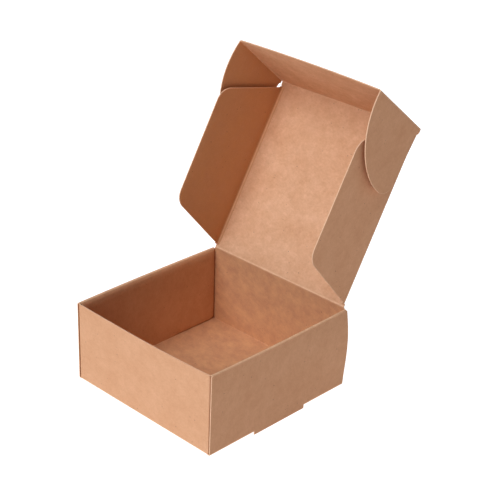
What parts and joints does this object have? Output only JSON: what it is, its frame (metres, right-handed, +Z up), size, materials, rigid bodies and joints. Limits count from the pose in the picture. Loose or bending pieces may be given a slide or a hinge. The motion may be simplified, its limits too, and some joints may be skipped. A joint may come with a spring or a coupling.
{
  "type": "kraft folding carton",
  "caption": "Small square kraft card box, roll-end tray with a hinged tuck lid, two dust flaps, a front flap and two locking ears.",
  "frame": {"origin": "centre of the base panel's underside", "axes": "+Z up, +X to the box's right seen from its front, -Y to the front where the lid closes, lid hinge at +Y"},
  "size_m": [0.065, 0.097, 0.1066],
  "materials": {
    "kraft_board": "matte"
  },
  "bodies": {
    "tray": {"tray": "kraft_board"},
    "lid": {"lid_panel": "kraft_board"},
    "front_flap": {"front_flap": "kraft_board"},
    "right_ear": {"right_ear": "kraft_board"},
    "left_ear": {"left_ear": "kraft_board"},
    "right_dust_flap": {"right_dust_flap": "kraft_board"},
    "left_dust_flap": {"left_dust_flap": "kraft_board"}
  },
  "joints": [
    {"name": "lid_hinge", "type": "hinge", "parent": "tray", "child": "lid", "pos_m": [0, 0.03173, 0.03], "axis": [-1, 0, 0], "range_deg": [-120.8, 84.2], "deforming": ["right_ear", "left_ear"]},
    {"name": "front_flap_fold", "type": "hinge", "parent": "lid", "child": "front_flap", "pos_m": [0, 0.06496, 0.08575], "axis": [-1, 0, 0], "range_deg": [-10, 80]},
    {"name": "right_ear_fold", "type": "hinge", "parent": "front_flap", "child": "right_ear", "pos_m": [0.03193, 0.05339, 0.09573], "axis": [0, -0.757, 0.6534], "range_deg": [0, 90]},
    {"name": "left_ear_fold", "type": "hinge", "parent": "front_flap", "child": "left_ear", "pos_m": [-0.03193, 0.05339, 0.09573], "axis": [0, 0.757, -0.6534], "range_deg": [0, 90]},
    {"name": "right_dust_flap_fold", "type": "hinge", "parent": "lid", "child": "right_dust_flap", "pos_m": [0.03051, 0.04819, 0.05796], "axis": [0, -0.512, -0.859], "range_deg": [0, 85]},
    {"name": "left_dust_flap_fold", "type": "hinge", "parent": "lid", "child": "left_dust_flap", "pos_m": [-0.03051, 0.04819, 0.05796], "axis": [0, 0.512, 0.859], "range_deg": [0, 85]}
  ]
}
